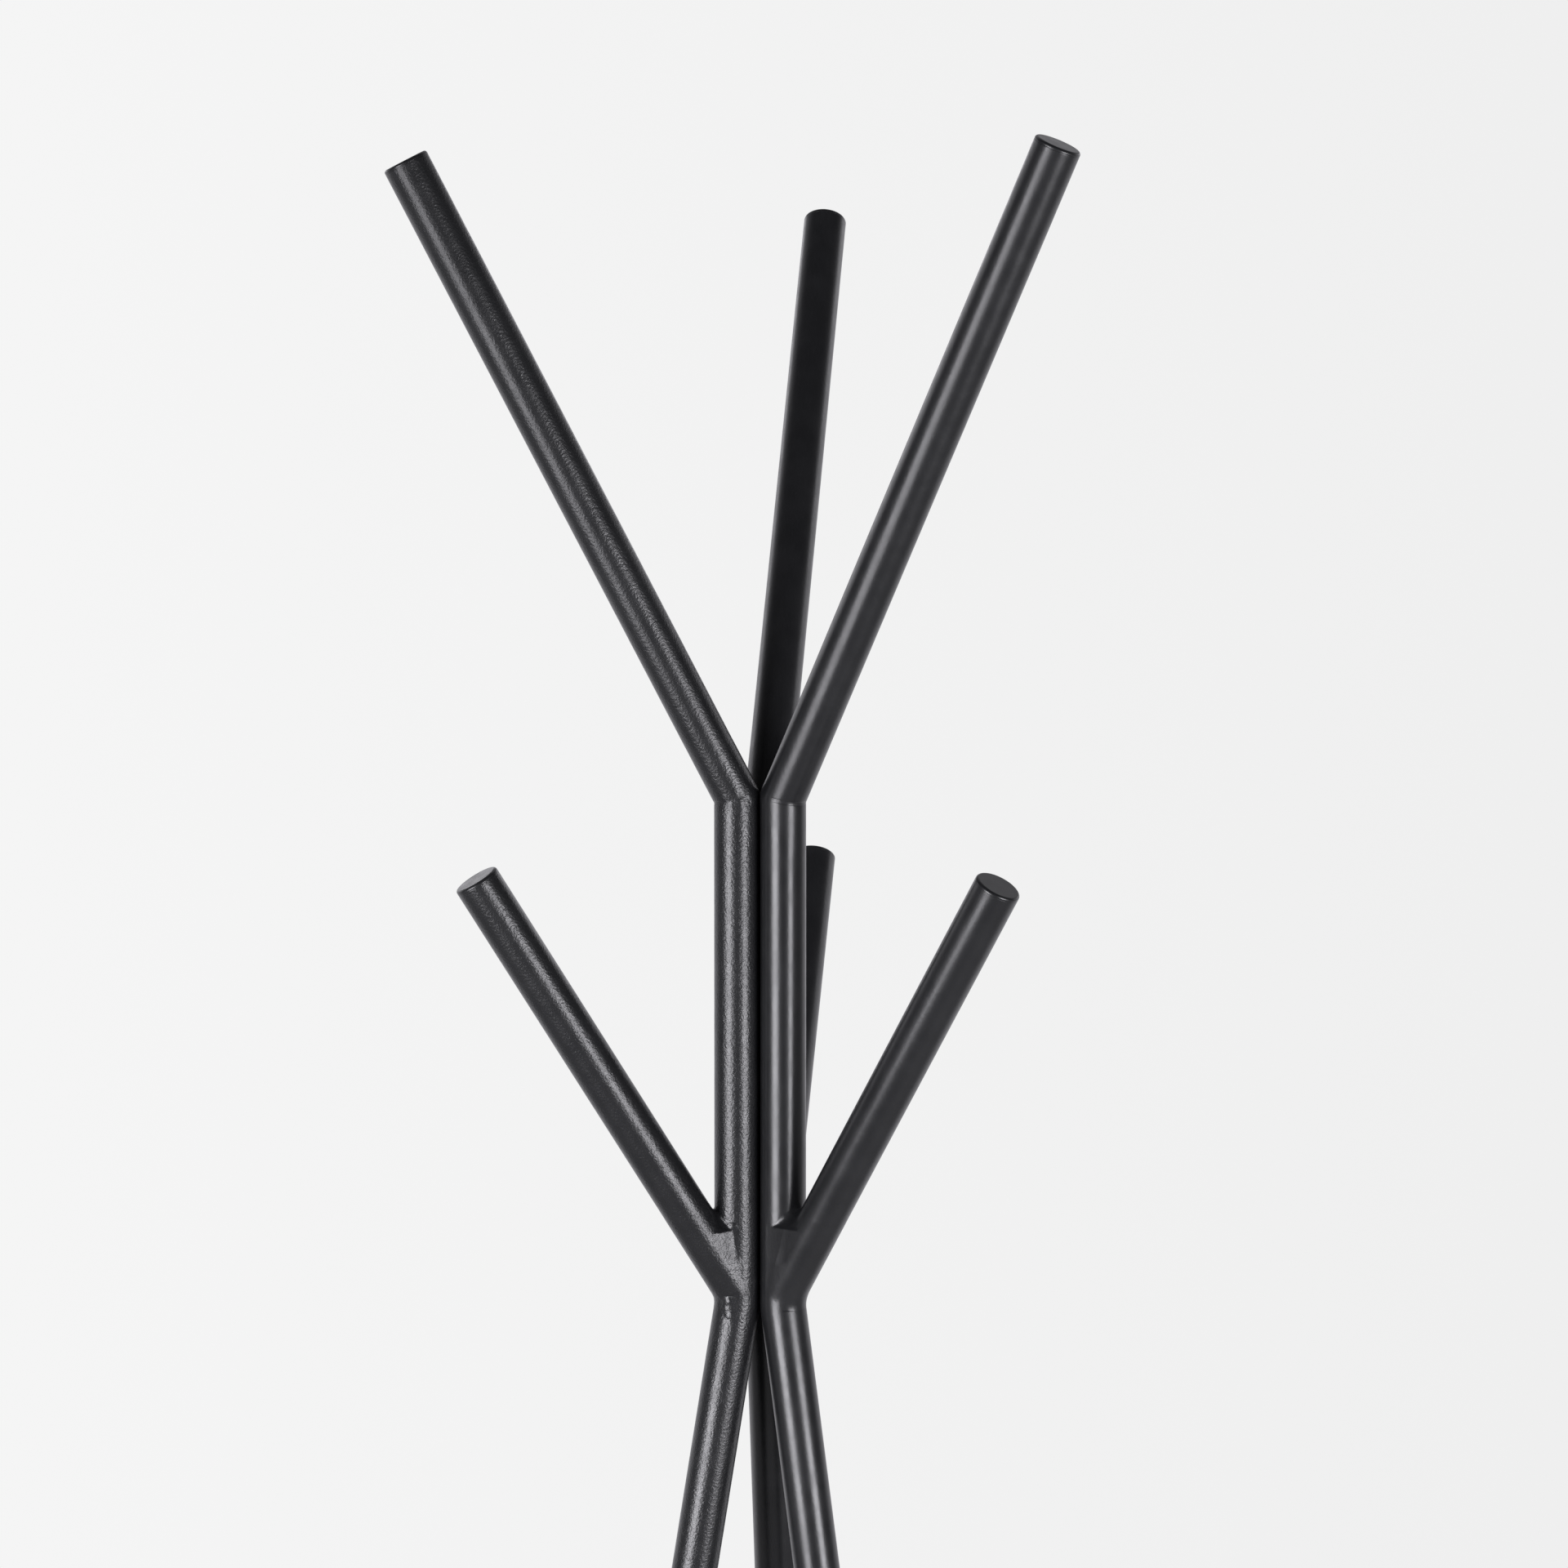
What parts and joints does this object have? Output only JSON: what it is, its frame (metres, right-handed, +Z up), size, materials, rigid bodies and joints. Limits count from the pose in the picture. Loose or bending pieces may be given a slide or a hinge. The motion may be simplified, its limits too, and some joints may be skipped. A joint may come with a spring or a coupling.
{
  "type": "coat rack",
  "caption": "Free-standing coat rack of black round steel tube: a splayed tripod rises into a bundle of posts that fan out into upper and lower arms for hanging coats.",
  "frame": {"origin": "on the floor, on the vertical axis that the three stems share", "axes": "+Z up along that axis; +Y outwards over the back stem, so that the front of the rack, with the left and right stems, faces -Y and +X is to its right"},
  "size_m": [0.3826, 0.3348, 1.7494],
  "materials": {
    "tube_coat": "satin black powder coat, fine orange peel",
    "cap_coat": "satin black powder coat on a flat disc",
    "weld_coat": "satin black powder coat over a dressed weld",
    "glide_plastic": "moulded black polyethylene"
  },
  "bodies": {
    "root": {"leg_left": "tube_coat", "post_left": "tube_coat", "upper_arm_left": "tube_coat", "lower_arm_left": "tube_coat", "upper_cap_left": "cap_coat", "lower_cap_left": "cap_coat", "upper_weld_left": "weld_coat", "lower_weld_left": "weld_coat", "arm_weld_left": "weld_coat", "foot_glide_left": "glide_plastic", "leg_right": "tube_coat", "post_right": "tube_coat", "upper_arm_right": "tube_coat", "lower_arm_right": "tube_coat", "upper_cap_right": "cap_coat", "lower_cap_right": "cap_coat", "upper_weld_right": "weld_coat", "lower_weld_right": "weld_coat", "arm_weld_right": "weld_coat", "foot_glide_right": "glide_plastic", "leg_back": "tube_coat", "post_back": "tube_coat", "upper_arm_back": "tube_coat", "lower_arm_back": "tube_coat", "upper_cap_back": "cap_coat", "lower_cap_back": "cap_coat", "upper_weld_back": "weld_coat", "lower_weld_back": "weld_coat", "arm_weld_back": "weld_coat", "foot_glide_back": "glide_plastic", "seam_welds": "weld_coat"}
  },
  "joints": []
}
